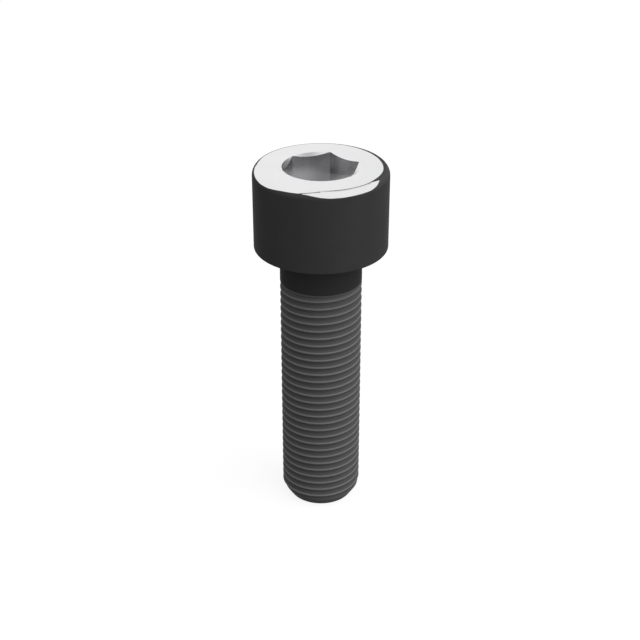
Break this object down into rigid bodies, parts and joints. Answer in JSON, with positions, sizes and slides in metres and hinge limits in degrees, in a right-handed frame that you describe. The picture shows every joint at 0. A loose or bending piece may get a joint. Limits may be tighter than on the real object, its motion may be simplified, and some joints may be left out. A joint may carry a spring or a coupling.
{
  "type": "socket head screw",
  "caption": "Socket head cap screw with a plain cylindrical head, a countersunk hexagon socket, a short plain neck, a fine right-hand thread and a chamfered flat point.",
  "frame": {"origin": "centre of the bearing face, on the screw's axis, where the underside of the head seats", "axes": "+Z along the screw's axis from the point towards the head, so the screw stands on its flat point; two corners of the hexagon socket lie on the X axis"},
  "size_m": [0.016, 0.016, 0.045],
  "materials": {
    "blackened_steel": "satin black oxide, with the top face and the socket machined bright"
  },
  "bodies": {
    "root": {"socket_head_screw": "blackened_steel"}
  },
  "joints": []
}
